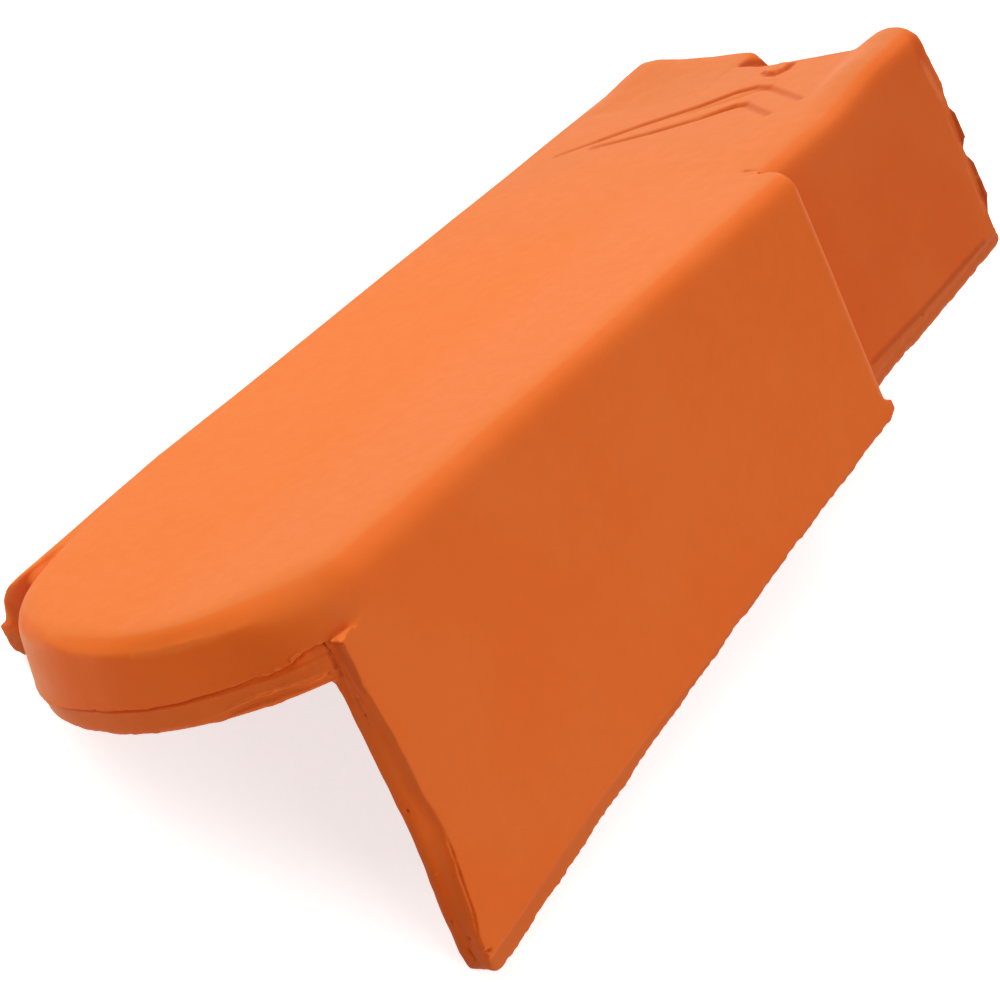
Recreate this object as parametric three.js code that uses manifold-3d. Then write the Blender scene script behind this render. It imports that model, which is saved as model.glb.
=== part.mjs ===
// Right-hand verge tile of pressed and fired clay: a round-tailed face plate with a thick skirt, a rail
// along its left side and a deep flange that hangs down on the right and covers the edge of the roof.
// Millimetres. In the tile's own axes X runs across the face to the right, with the flange's outer
// face at X = 0; Y runs up the slope from the flange's front edge; Z points out of the face, which
// is at Z = 0. The last lines lay the finished tile down on a level floor.
import * as THREE from 'three';
import { ConvexHull } from 'three/addons/math/ConvexHull.js';
import { mergeVertices } from 'three/addons/utils/BufferGeometryUtils.js';
import Module from 'manifold-3d';

const wasm = await Module();
wasm.setup();

// ---- driving dimensions -----------------------------------------------------------------------
const WIDTH = 162;
const STEP_Y = 270;               // end of the part that stays in view on the roof
const HEAD_Y = 377;               // upper end of the face
const TAIL_Y = -30.5;             // foremost point of the round tail
const TAIL_APEX_X = -69;          // where that point lies
const TAIL_LEFT_Y = 94;           // the tail's outline leaves the left side here
const TAIL_SIDE_X = -154.4;       // runs straight in to this point
const TAIL_SIDE_Y = 33;           // and bends from there on
const TAIL_RIGHT_Y = 16;          // the other end of its outline meets the ridge here
const PLATE = 13.5;               // thickness of the face plate
const SKIRT_DEPTH = 33.7;         // height of the tail's skirt
const SKIRT_DRAFT = 2.3;          // the left of the skirt leans out by this down to the moulds' joint
const SKIRT_WALL = 11;
const SKIRT_TOE = 3;              // rounding of the skirt's lower edge
const PARTING_Z = -24;            // joint of the two press moulds on the skirt
const SETBACK = 0.9;              // the lower mould's band lies this much further in
const RIDGE_RADIUS = 8.5;
const TAIL_RADIUS = 9;
const CORNER_RADIUS = 17;         // rounding where tail and ridge meet
const SIDE_RADIUS = 3;            // rounding of the left long edge

const FLANGE_WALL = 11;
const FLANGE_FRONT_Y = -1.2;
const FLANGE_SHOULDER_Z = -20.5;  // top of the flange's front end, below the rounded corner
const FLANGE_FRONT_Z = -140.5;    // lower edge at the front end
const FLANGE_STEP_Z = -97.5;      // lower edge at the step
const FLANGE_BOW = 3.2;           // rise of the lower edge between those two
const FLANGE_BAND = 7.5;          // height of the lower mould's band at the front end
const FLANGE_BAND_END_Y = 190;    // the band runs out here
const FLANGE_FOOT = 2.2;          // extra thickness inside, above the lower edge at the front end

const LAP_X = -13;                // outer face of the flange's upper length, which the next tile covers
const LAP_WALL = 13;
const LAP_START_Y = 246;          // where that length grows out of the main flange inside
const LAP_END_Y = 380.2;          // its end stands out a little past the head of the face
const LAP_STEP_Z = -94.3;
const LAP_END_Z = -84;
const LAP_LIP = 6;
const END_BEVEL = 0.8;
const LAP_RIDGE_LOW = -0.7;       // ridge height at the step
const LAP_RIDGE_HIGH = 4.2;       // and on the bump at the head
const LAP_RIDGE_RADIUS = 8.5;

const RAIL_WALL = 11;             // left wall under the face
const RAIL_TIP = 7.3;             // width of its free front end beside the tail
const RAIL_FRONT_Y = 11;
const RAIL_DEPTH = 24.5;
const RAIL_PARTING_Z = -13.4;
const RAIL_LEAN = 5.5;            // the top of its front end leans in by this much
const RAIL_BURR = 1.5;            // the lower mould's part stands this far out to the left

const TAB_END_Y = 394;            // tab at the left half of the head
const TAB_RIGHT_X = -99.5;
const TAB_FLANK = 9;
const TAB_RISE = 4.7;

const NIB_Y = 342;                // face of the hanging nibs that bears on the batten
const NIB_HEIGHT = 15;
const NIB_WIDTH = 28;
const NIB_LEFTS = [-136, -66];    // left sides of the two nibs
const STUD_RADIUS = 5;
const STUD_HEIGHT = 2;
const GROOVE_WIDTH = 4;
const GROOVE_DEPTH = 1.6;

// ---- solids from three.js geometry ------------------------------------------------------------
function toSolid(geometry) {
  geometry.deleteAttribute('normal');
  geometry.deleteAttribute('uv');
  const merged = mergeVertices(geometry, 1e-4);
  return new wasm.Manifold(new wasm.Mesh({
    numProp: 3,
    vertProperties: Float32Array.from(merged.attributes.position.array),
    triVerts: Uint32Array.from(merged.index.array),
  }));
}

function toGeometry(solid) {
  const mesh = solid.getMesh();
  const geometry = new THREE.BufferGeometry();
  geometry.setAttribute('position', new THREE.BufferAttribute(mesh.vertProperties, 3));
  geometry.setIndex(new THREE.BufferAttribute(mesh.triVerts, 1));
  geometry.computeVertexNormals();
  return geometry;
}

// A closed skin through rings of equally many points, capped at both ends. `flatten` gives a ring's
// points in its own plane, where they run counter-clockwise as seen from the last ring's side.
function loft(rings, flatten) {
  const count = rings[0].length;
  const positions = rings.flat().flatMap((p) => [p.x, p.y, p.z]);
  const index = [];
  for (let k = 0; k + 1 < rings.length; k += 1) {
    for (let i = 0; i < count; i += 1) {
      const a = k * count + i;
      const b = k * count + (i + 1) % count;
      index.push(a, b, b + count, a, b + count, a + count);
    }
  }
  const last = (rings.length - 1) * count;
  const first = THREE.ShapeUtils.triangulateShape(rings[0].map(flatten), []);
  const end = THREE.ShapeUtils.triangulateShape(rings.at(-1).map(flatten), []);
  first.forEach(([a, b, c]) => index.push(c, b, a));
  end.forEach(([a, b, c]) => index.push(last + a, last + b, last + c));
  const geometry = new THREE.BufferGeometry();
  geometry.setAttribute('position', new THREE.Float32BufferAttribute(positions, 3));
  geometry.setIndex(index);
  return toSolid(geometry);
}

const fromHead = (p) => new THREE.Vector2(-p.x, p.z);
const fromTail = (p) => new THREE.Vector2(p.x, p.z);
const fromAbove = (p) => new THREE.Vector2(p.x, p.y);

// Points along a path, each place only once.
function pathPoints(path, divisions) {
  const points = path.getPoints(divisions);
  return points.filter((p, i) => i === 0 || p.distanceTo(points[i - 1]) > 1e-3);
}

const drawnOut = (depth) => ({ depth, bevelEnabled: false, curveSegments: 16 });

// Outline in X and Y, counter-clockwise, drawn out between two heights.
function plate(shape, bottom, top) {
  const geometry = new THREE.ExtrudeGeometry(shape, drawnOut(top - bottom));
  geometry.translate(0, 0, bottom);
  return toSolid(geometry);
}

const ALONG_X = new THREE.Matrix4().makeBasis(
  new THREE.Vector3(0, 1, 0), new THREE.Vector3(0, 0, 1), new THREE.Vector3(1, 0, 0));
const ALONG_Y = new THREE.Matrix4().makeBasis(
  new THREE.Vector3(1, 0, 0), new THREE.Vector3(0, 0, 1), new THREE.Vector3(0, -1, 0));

// Side view in Y and Z, drawn out across the tile.
function acrossTile(shape, left, right) {
  const geometry = new THREE.ExtrudeGeometry(shape, drawnOut(right - left));
  geometry.applyMatrix4(ALONG_X).translate(left, 0, 0);
  return toSolid(geometry);
}

// Section in X and Z, drawn out along the tile.
function alongTile(shape, front, back) {
  const geometry = new THREE.ExtrudeGeometry(shape, drawnOut(back - front));
  geometry.applyMatrix4(ALONG_Y).translate(0, back, 0);
  return toSolid(geometry);
}

function polygon(points) {
  return new THREE.Shape(points.map(([x, y]) => new THREE.Vector2(x, y)));
}

// ---- outline of the tail ----------------------------------------------------------------------
// From the left side a straight run leads into a long curve round to the foremost point, where a
// tighter one takes over and turns up into the ridge. `inset` moves the whole outline inwards.
function tailPath(inset) {
  const front = TAIL_Y + inset;
  const sideX = TAIL_SIDE_X + inset;
  const path = new THREE.Path();
  path.moveTo(-WIDTH + inset, TAIL_LEFT_Y);
  path.lineTo(sideX, TAIL_SIDE_Y);
  path.bezierCurveTo(sideX + 6.4, -22.3 + inset, TAIL_APEX_X - 9, front, TAIL_APEX_X, front);
  path.bezierCurveTo(-38 - inset * 0.4, front, -inset, -8 + inset * 0.6, -inset, TAIL_RIGHT_Y);
  return path;
}

const smooth = (t) => THREE.MathUtils.smoothstep(t, 0, 1);

// Radius of the rounded upper edge at a point of the outline.
function edgeRadius(point) {
  const toCorner = point.distanceTo(new THREE.Vector2(-6, -6));
  const corner = (CORNER_RADIUS - TAIL_RADIUS) * (1 - smooth(toCorner / 42));
  const onLeft = smooth((point.y - 11) / (TAIL_LEFT_Y - 11)) * (point.x < TAIL_APEX_X ? 1 : 0);
  const onRidge = smooth((point.y - 30) / 60) * (point.x > TAIL_APEX_X ? 1 : 0);
  return TAIL_RADIUS + corner + (SIDE_RADIUS - TAIL_RADIUS) * onLeft
    + (RIDGE_RADIUS - TAIL_RADIUS) * onRidge;
}

// ---- the length that stays in view ------------------------------------------------------------
// Points round the face up to the step, each with the direction towards the middle of the face.
function bodyOutline() {
  const points = pathPoints(tailPath(0), 32);
  const tailCount = points.length;
  const sideStep = (STEP_Y - TAIL_LEFT_Y) / 6;
  for (let k = 1; k <= 6; k += 1) points.push(new THREE.Vector2(0, TAIL_LEFT_Y + sideStep * k));
  for (let k = 6; k >= 1; k -= 1) points.push(new THREE.Vector2(-WIDTH, TAIL_LEFT_Y + sideStep * k));
  return points.map((point, i) => {
    const inward = new THREE.Vector2(point.x < TAIL_APEX_X ? 1 : -1, 0);
    if (i > 0 && i < tailCount - 1) {
      const along = points[i + 1].clone().sub(points[i - 1]).normalize();
      inward.set(-along.y, along.x);
    }
    return { point, inward };
  });
}

// Skin from the skirt's rounded lower edge over the ledge at the moulds' joint to the rounded upper
// edge, which ends at the flat face.
function body() {
  const outline = bodyOutline();
  const ring = (inset, height) => outline.map(({ point, inward }) => {
    const radius = edgeRadius(point);
    const z = height(radius);
    const leftFlank = smooth((TAIL_APEX_X + 10 - point.x) / 60) * (1 - smooth((point.y - 20) / 40));
    const lean = SKIRT_DRAFT * leftFlank * smooth((z + TAIL_RADIUS) / (PARTING_Z + TAIL_RADIUS));
    const move = inset(radius) - lean;
    return new THREE.Vector3(point.x + inward.x * move, point.y + inward.y * move, z);
  });
  const rings = [];
  const TOE_STEPS = 3;
  for (let k = TOE_STEPS; k >= 0; k -= 1) {
    const turn = (k / TOE_STEPS) * Math.PI / 2;
    rings.push(ring(() => SETBACK + SKIRT_TOE * (1 - Math.cos(turn)),
      () => -SKIRT_DEPTH + SKIRT_TOE * (1 - Math.sin(turn))));
  }
  rings.push(ring(() => SETBACK, () => PARTING_Z - 0.4));
  rings.push(ring(() => 0, () => PARTING_Z));
  rings.push(ring(() => 0, (radius) => (PARTING_Z - radius) / 2));
  const ARC_STEPS = 8;
  for (let k = 0; k <= ARC_STEPS; k += 1) {
    const turn = (k / ARC_STEPS) * Math.PI / 2;
    rings.push(ring((radius) => radius * (1 - Math.cos(turn)), (radius) => -radius * (1 - Math.sin(turn))));
  }
  return loft(rings, fromAbove);
}

// Height of the flange's lower edge, a shallow curve from the front end to the step.
function flangeEdge(y) {
  const t = y / STEP_Y;
  return THREE.MathUtils.lerp(FLANGE_FRONT_Z, FLANGE_STEP_Z, t) + 4 * FLANGE_BOW * t * (1 - t);
}

function flangeSide() {
  const top = -18;
  const toe = 4;
  const shape = new THREE.Shape();
  shape.moveTo(STEP_Y, top);
  shape.lineTo(14, top);
  shape.lineTo(FLANGE_FRONT_Y + 1, FLANGE_SHOULDER_Z);
  shape.lineTo(FLANGE_FRONT_Y, FLANGE_SHOULDER_Z - 1);
  shape.lineTo(FLANGE_FRONT_Y, FLANGE_FRONT_Z + toe);
  shape.quadraticCurveTo(FLANGE_FRONT_Y, FLANGE_FRONT_Z, FLANGE_FRONT_Y + toe, FLANGE_FRONT_Z);
  for (let k = 1; k <= 8; k += 1) {
    const y = THREE.MathUtils.lerp(FLANGE_FRONT_Y + toe, STEP_Y, k / 8);
    shape.lineTo(y, flangeEdge(y));
  }
  return shape;
}

function mainLength() {
  const flange = acrossTile(flangeSide(), -FLANGE_WALL, 0);
  const corner = innerFillet(-FLANGE_WALL, -SKIRT_DEPTH + 0.6, 9, FLANGE_FRONT_Y + 0.8, 12);
  return body().add(flange).subtract(mainHollow()).subtract(flangeBand())
    .add(corner).add(flangeFoot()).add(shoulder());
}

// Inside, the flange's lower edge is thicker at the front end; this runs out along it.
function flangeFoot() {
  const ring = (y) => {
    const share = 1 - 0.9 * y / FLANGE_BAND_END_Y;
    const inner = -FLANGE_WALL - FLANGE_FOOT * share;
    const edge = flangeEdge(y) + 0.4;
    return [
      new THREE.Vector3(-FLANGE_WALL + 4, y, edge), new THREE.Vector3(-FLANGE_WALL + 4, y, edge + 46),
      new THREE.Vector3(-FLANGE_WALL - 0.05, y, edge + 45), new THREE.Vector3(inner, y, edge + 26),
      new THREE.Vector3(inner, y, edge + 5), new THREE.Vector3(inner + 1.4, y, edge + 0.8)];
  };
  const rings = [];
  for (let k = 5; k >= 0; k -= 1) rings.push(ring(THREE.MathUtils.lerp(0, FLANGE_BAND_END_Y, k / 5)));
  return loft(rings, fromTail);
}

// Fills the hollow between the rounded corner and the flange's outer face, so that of the flange's
// top only a small ledge stays at the front.
function shoulder() {
  const ring = (y, out) => [
    new THREE.Vector3(-9, y, FLANGE_SHOULDER_Z - 1), new THREE.Vector3(out, y, FLANGE_SHOULDER_Z - 1),
    new THREE.Vector3(out, y, -19), new THREE.Vector3(out - 0.6, y, -15),
    new THREE.Vector3(out - 2.6, y, -10.5), new THREE.Vector3(-9, y, -8)];
  return loft([ring(24, 0), ring(12, 0), ring(8.5, -0.5), ring(5.5, -1.8), ring(2.5, -4.4)], fromTail);
}

// Space under the face: a skirt wall is left round the tail and a wall along the left side.
function mainHollow() {
  const shape = new THREE.Shape(pathPoints(tailPath(SKIRT_WALL), 16));
  shape.lineTo(-FLANGE_WALL, STEP_Y + 1);
  shape.lineTo(-WIDTH + RAIL_WALL, STEP_Y + 1);
  const below = -SKIRT_DEPTH - 10;
  const hollow = plate(shape, below, -PLATE);
  const aboveLeftWall = acrossTile(polygon([
    [26, below], [STEP_Y + 1, below], [STEP_Y + 1, -RAIL_DEPTH], [38, -RAIL_DEPTH]]),
  -WIDTH - 5, -WIDTH + 60);
  return hollow.subtract(innerFillet(-FLANGE_WALL, -PLATE, 9, TAIL_Y, STEP_Y + 2)).add(aboveLeftWall);
}

// Rounded inner corner between the underside and a wall on its right.
function innerFillet(wallX, undersideZ, radius, front, back) {
  const shape = new THREE.Shape();
  shape.moveTo(wallX + 1, undersideZ + 1);
  shape.lineTo(wallX - radius, undersideZ + 1);
  shape.lineTo(wallX - radius, undersideZ);
  shape.quadraticCurveTo(wallX, undersideZ, wallX, undersideZ - radius);
  shape.lineTo(wallX + 1, undersideZ - radius);
  shape.closePath();
  return alongTile(shape, front, back);
}

// The lower mould's band along the flange's lower edge, which runs out towards the step.
function flangeBand() {
  const ring = (y) => {
    const share = 1 - Math.max(0, y) / FLANGE_BAND_END_Y;
    const setback = 0.05 + SETBACK * share;
    const top = flangeEdge(y) + 3 + (FLANGE_BAND - 3) * share;
    const below = flangeEdge(y) - 5;
    return [
      new THREE.Vector3(-setback, y, below), new THREE.Vector3(3, y, below),
      new THREE.Vector3(3, y, top), new THREE.Vector3(-setback, y, top - 0.6)];
  };
  const rings = [];
  for (let k = 5; k >= 0; k -= 1) rings.push(ring(FLANGE_BAND_END_Y * k / 5));
  rings.push(ring(TAIL_Y));
  return loft(rings, fromTail);
}

// ---- rail beside the tail ---------------------------------------------------------------------
// The rail tapers from the full width of the tile to a narrow front end whose left side leans in. The
// burr at the moulds' joint runs along it and grows towards the front.
function railSection(y) {
  const toFront = THREE.MathUtils.mapLinear(y, TAIL_LEFT_Y + 8, RAIL_FRONT_Y, 0, 1);
  const left = -WIDTH;
  const right = left + THREE.MathUtils.lerp(RAIL_WALL, RAIL_TIP, toFront);
  const burr = left - RAIL_BURR * toFront;
  const lean = RAIL_LEAN * toFront;
  return [
    [left + 1 + 3.5 * toFront, -RAIL_DEPTH], [right, -RAIL_DEPTH], [right, -0.8], [left + lean + 1.6, -0.2],
    [left + lean + 0.5, -0.8], [left + lean * 0.86, -2], [left + lean * 0.7, -6],
    [left + lean * 0.4, RAIL_PARTING_Z + 2.2], [burr, RAIL_PARTING_Z], [burr + 0.5, RAIL_PARTING_Z - 6],
    [burr + 2.7 * toFront + 0.1, RAIL_PARTING_Z - 8.6]].map(([x, z]) => new THREE.Vector3(x, y, z));
}

function railTip() {
  const bar = loft([TAIL_LEFT_Y + 8, 60, 30, RAIL_FRONT_Y].map(railSection), fromTail);
  const nose = acrossTile(polygon([
    [RAIL_FRONT_Y - 1, 2], [RAIL_FRONT_Y - 1, -7], [RAIL_FRONT_Y + 0.6, -3.4], [RAIL_FRONT_Y + 3.5, -1],
    [RAIL_FRONT_Y + 7, 2]]), -WIDTH - 3, -WIDTH + RAIL_TIP + 3);
  return bar.subtract(nose);
}

// ---- the length under the next tile -----------------------------------------------------------
// Height of the ridge: a little below the face at the step, it rises to a bump at the head.
function lapRidge(y) {
  const climb = (y - STEP_Y) / (HEAD_Y - STEP_Y);
  const slow = -LAP_RIDGE_LOW * Math.min(1, climb / 0.6);
  return LAP_RIDGE_LOW + slow + LAP_RIDGE_HIGH * smooth((climb - 0.45) / 0.35);
}

// Section of face, ridge, flange and left wall in X and Z, counter-clockwise seen from the tail.
function lapSection(y) {
  const ridge = lapRidge(y);
  const lower = THREE.MathUtils.mapLinear(y, STEP_Y, LAP_END_Y, LAP_STEP_Z, LAP_END_Z);
  const foot = THREE.MathUtils.mapLinear(y, STEP_Y, HEAD_Y, -26, -43);
  const centerX = LAP_X - LAP_RIDGE_RADIUS;
  const innerX = LAP_X - LAP_WALL;
  const shape = new THREE.Path();
  shape.moveTo(-WIDTH + RAIL_WALL, -PLATE);
  shape.lineTo(-WIDTH + RAIL_WALL, -RAIL_DEPTH);
  shape.lineTo(-WIDTH, -RAIL_DEPTH);
  shape.lineTo(-WIDTH, -SIDE_RADIUS);
  shape.absarc(-WIDTH + SIDE_RADIUS, -SIDE_RADIUS, SIDE_RADIUS, Math.PI, Math.PI / 2, true);
  shape.lineTo(foot, 0);
  const toRidge = centerX - foot;
  shape.bezierCurveTo(foot + toRidge * 0.25, 0, foot + toRidge * 0.45, ridge, centerX, ridge);
  shape.absarc(centerX, ridge - LAP_RIDGE_RADIUS, LAP_RIDGE_RADIUS, Math.PI / 2, 0, true);
  shape.lineTo(LAP_X, lower + LAP_LIP);
  shape.lineTo(LAP_X - SETBACK, lower + LAP_LIP - 0.5);
  shape.lineTo(LAP_X - SETBACK, lower + 2);
  shape.lineTo(LAP_X - SETBACK - 2, lower);
  shape.lineTo(innerX + 2, lower);
  shape.lineTo(innerX, lower + 2);
  shape.lineTo(innerX, -PLATE - 8);
  shape.quadraticCurveTo(innerX, -PLATE, innerX - 8, -PLATE);
  return pathPoints(shape, 8);
}

// Section moved inwards all round, for a rounded end.
function shrink(section, amount) {
  return section.map((point, i) => {
    const before = section[(i + section.length - 1) % section.length];
    const after = section[(i + 1) % section.length];
    const along = after.clone().sub(before).normalize();
    return new THREE.Vector2(point.x + along.y * amount, point.y - along.x * amount);
  });
}

function lapLength() {
  // Ridge and flange stand out past the head of the face.
  const past = (x) => (LAP_END_Y - HEAD_Y) * smooth((x + 44) / 20);
  const ring = (section, y, isEnd) => section.map((p) => new THREE.Vector3(
    p.x, isEnd ? y + past(p.x) : y, p.y));
  const rings = [];
  for (let y = STEP_Y - 6; y < HEAD_Y - 4; y += 8) rings.push(ring(lapSection(y), y, false));
  rings.push(ring(lapSection(HEAD_Y), HEAD_Y - END_BEVEL * 1.5, true));
  rings.push(ring(shrink(lapSection(HEAD_Y), END_BEVEL), HEAD_Y, true));
  return loft(rings, fromHead).add(lapRoot());
}

// Inside the main flange the lapped length starts as a slope, so that both walls are joined.
function lapRoot() {
  const innerX = LAP_X - LAP_WALL;
  const root = plate(polygon([
    [LAP_X + 3, LAP_START_Y], [LAP_X + 3, STEP_Y], [innerX, STEP_Y], [innerX, STEP_Y - 6]]),
  LAP_STEP_Z - 3, -PLATE + 1);
  const waste = acrossTile(polygon([
    [LAP_START_Y - 2, LAP_STEP_Z - 5], [STEP_Y + 1, LAP_STEP_Z - 5], [STEP_Y + 1, LAP_STEP_Z + 0.8],
    [LAP_START_Y - 2, LAP_STEP_Z - 2]]), innerX - 1, -FLANGE_WALL);
  return root.subtract(waste);
}

// ---- head -------------------------------------------------------------------------------------
function tabSection(y, rise, corner) {
  const left = -WIDTH + corner;
  const points = [
    [TAB_RIGHT_X + TAB_FLANK, -PLATE], [TAB_RIGHT_X + 1.6, -2.2], [TAB_RIGHT_X, -0.2],
    [TAB_RIGHT_X - 3, rise * 0.14], [-119, rise * 0.34], [-133, rise * 0.62], [-144, rise],
    [-151, rise * 0.95], [left + 4, rise * 0.5 - 0.5], [left + 1.2, -2], [left, -5], [left, -PLATE],
  ];
  return points.map(([x, z]) => new THREE.Vector3(x, y, z)).reverse();
}

function headTab() {
  const sections = [
    tabSection(HEAD_Y - 22, 0, 0), tabSection(HEAD_Y - 6, TAB_RISE * 0.4, 0),
    tabSection(HEAD_Y + 6, TAB_RISE * 0.8, 0), tabSection(TAB_END_Y - 5, TAB_RISE, 1),
    tabSection(TAB_END_Y - 1.5, TAB_RISE - 0.2, 3), tabSection(TAB_END_Y, TAB_RISE - 1.2, 6)];
  return loft(sections, fromHead);
}

// Nib that hooks over the roof batten: upright on the side of the tail, sloped towards the head.
function hangingNib(left) {
  const base = -PLATE + 2;
  const foot = -PLATE - NIB_HEIGHT;
  return acrossTile(polygon([
    [NIB_Y, base], [NIB_Y, foot + 2], [NIB_Y + 2, foot], [NIB_Y + 10, foot], [NIB_Y + 16, base]]),
  left, left + NIB_WIDTH);
}

function stud() {
  const geometry = new THREE.CylinderGeometry(STUD_RADIUS - 1.2, STUD_RADIUS, STUD_HEIGHT + 2, 20);
  geometry.rotateX(Math.PI / 2).translate(-72, HEAD_Y - 7, (STUD_HEIGHT - 2) / 2);
  return toSolid(geometry);
}

// One straight groove that is deepest at `from` and runs out at `to`.
function groove(from, to, startScale, endScale) {
  const start = new THREE.Vector3(...from, 0);
  const end = new THREE.Vector3(...to, 0);
  const axis = end.clone().sub(start).normalize();
  const across = axis.clone().cross(new THREE.Vector3(0, 0, 1));
  const ring = (p, scale) => [
    p.clone().addScaledVector(across, GROOVE_WIDTH / 2 * scale).setZ(0.3),
    p.clone().setZ(-GROOVE_DEPTH * scale),
    p.clone().addScaledVector(across, -GROOVE_WIDTH / 2 * scale).setZ(0.3),
  ];
  const flatten = (p) => new THREE.Vector2(-p.clone().sub(start).dot(across), p.z);
  return loft([ring(start.addScaledVector(axis, -1), startScale), ring(end, endScale)], flatten);
}

// Two nested chevrons that point to the head.
function chevrons() {
  const outer = [[-66, 352.5], [-141, 318], [-38, 334]];
  const inner = [[-67.5, 339.5], [-126, 322], [-46, 324.5]];
  return [outer, inner].flatMap(([apex, leftEnd, rightEnd]) => [
    groove(apex, leftEnd, 1, 0.12), groove(apex, rightEnd, 0.9, 0.12)]);
}

// ---- assembly ---------------------------------------------------------------------------------
function tileSolid() {
  let solid = mainLength().add(railTip()).add(lapLength()).add(headTab()).add(stud());
  NIB_LEFTS.forEach((left) => { solid = solid.add(hangingNib(left)); });
  chevrons().forEach((cut) => { solid = solid.subtract(cut); });
  return solid;
}

const clay = new THREE.MeshStandardMaterial({ color: 0xd9692f, roughness: 0.85, metalness: 0 });
const tile = new THREE.Mesh(toGeometry(tileSolid()), clay);
tile.name = 'tile';

// Laid down unheld and face up, the tile rolls over to its left until the flange's front end, the
// skirt and the left wall all touch the floor: the hull's largest face that looks down to the left.
const resting = new ConvexHull().setFromObject(tile).faces
  .filter((face) => face.normal.x < -0.3 && face.normal.z < -0.3)
  .reduce((largest, face) => (face.area > largest.area ? face : largest));
tile.quaternion.setFromUnitVectors(resting.normal, new THREE.Vector3(0, 0, -1));
const box = new THREE.Box3().setFromObject(tile, true);
const center = box.getCenter(new THREE.Vector3());
tile.position.set(-center.x, -center.y, -box.min.z);

const group = new THREE.Group();
group.add(tile);

export default group;
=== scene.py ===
"""Right-hand verge tile of red fired clay, lying unheld on a pale floor."""
import math

import bmesh
import bpy
import numpy as np
from mathutils import Matrix, Vector


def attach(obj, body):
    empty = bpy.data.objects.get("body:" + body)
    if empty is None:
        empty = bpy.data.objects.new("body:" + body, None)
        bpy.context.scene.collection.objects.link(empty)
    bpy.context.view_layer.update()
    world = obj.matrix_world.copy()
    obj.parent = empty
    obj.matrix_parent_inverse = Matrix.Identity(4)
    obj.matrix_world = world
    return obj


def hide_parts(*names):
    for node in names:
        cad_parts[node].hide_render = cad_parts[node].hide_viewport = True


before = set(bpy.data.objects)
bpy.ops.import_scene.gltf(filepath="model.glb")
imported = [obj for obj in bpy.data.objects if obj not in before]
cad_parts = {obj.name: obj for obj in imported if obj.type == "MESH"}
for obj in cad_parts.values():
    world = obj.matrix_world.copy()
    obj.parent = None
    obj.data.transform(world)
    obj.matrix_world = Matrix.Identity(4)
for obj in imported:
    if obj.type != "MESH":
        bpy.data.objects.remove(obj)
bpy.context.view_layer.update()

NODE = "tile"
MM = 0.001

# ---- the tile's own axes -------------------------------------------------------------------------
# X runs across the face to the right, with the flange's outer side at 0. Y runs up the slope and Z
# out of the face, which lies at 0. The foremost point of the tail lies at Y = -TAIL_REACH.
TAIL_REACH = 30.5 * MM
FLAT_WITHIN = 0.2 * MM


def node_arrays(node):
    """Vertices, and normals, areas and centres of the faces, of a CAD node."""
    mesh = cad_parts[node].data
    points = np.empty(len(mesh.vertices) * 3)
    mesh.vertices.foreach_get("co", points)
    normals = np.empty(len(mesh.polygons) * 3)
    mesh.polygons.foreach_get("normal", normals)
    areas = np.empty(len(mesh.polygons))
    mesh.polygons.foreach_get("area", areas)
    centers = np.empty(len(mesh.polygons) * 3)
    mesh.polygons.foreach_get("center", centers)
    return points.reshape(-1, 3), normals.reshape(-1, 3), areas, centers.reshape(-1, 3)


def flat_side(normals, areas, centers, rough):
    """Normal of the largest flat side that looks roughly that way, and how far out it lies."""
    rough = np.array(rough) / np.linalg.norm(rough)
    facing = np.flatnonzero(normals @ rough > 0.9)
    largest = facing[np.argmax(areas[facing])]
    level = centers[facing] @ normals[largest]
    in_plane = np.abs(level - centers[largest] @ normals[largest]) < FLAT_WITHIN
    same = facing[in_plane & (normals[facing] @ normals[largest] > 0.99995)]
    normal = (normals[same] * areas[same, None]).sum(axis=0)
    normal /= np.linalg.norm(normal)
    reach = ((centers[same] @ normal) * areas[same]).sum() / areas[same].sum()
    return normal, reach


def tile_axes():
    """Matrix from the tile's own axes to the room's."""
    points, normals, areas, centers = node_arrays(NODE)
    up, face_reach = flat_side(normals, areas, centers, (-0.6, 0.0, 0.8))
    side, side_reach = flat_side(normals, areas, centers, (0.8, 0.0, 0.6))
    slope = np.cross(up, side)
    slope /= np.linalg.norm(slope)
    side = np.cross(slope, up)
    slope_start = (points @ slope).min() + TAIL_REACH
    turn = np.stack([side, slope, up], axis=1)
    place = turn @ np.array([side_reach, slope_start, face_reach])
    matrix = Matrix(turn.tolist()).to_4x4()
    matrix.translation = Vector(place.tolist())
    return matrix


TILE = tile_axes()

# ---- camera --------------------------------------------------------------------------------------
CAMERA_AT = Vector((889.8, -783.7, 407.2)) * MM          # in the tile's own axes
CAMERA_AIM = Vector((0.0, 81.6, -20.3)) * MM
CAMERA_ROLL = math.radians(-24.2)
LENS = 153.03


def add_camera():
    data = bpy.data.cameras.new("camera")
    data.lens = LENS
    data.sensor_width = 36.0
    camera = bpy.data.objects.new("camera", data)
    bpy.context.collection.objects.link(camera)
    look = (CAMERA_AIM - CAMERA_AT).to_track_quat("-Z", "Y").to_matrix()
    turned = look @ Matrix.Rotation(CAMERA_ROLL, 3, "Z")
    camera.matrix_world = TILE @ Matrix.Translation(CAMERA_AT) @ turned.to_4x4()
    bpy.context.scene.camera = camera


# ---- light and floor -----------------------------------------------------------------------------
AMBIENT = 0.21
FLOOR_SIZE = 12.0
FLOOR_TONE = 0.8
FLOOR_GLOW = 0.72
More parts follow.
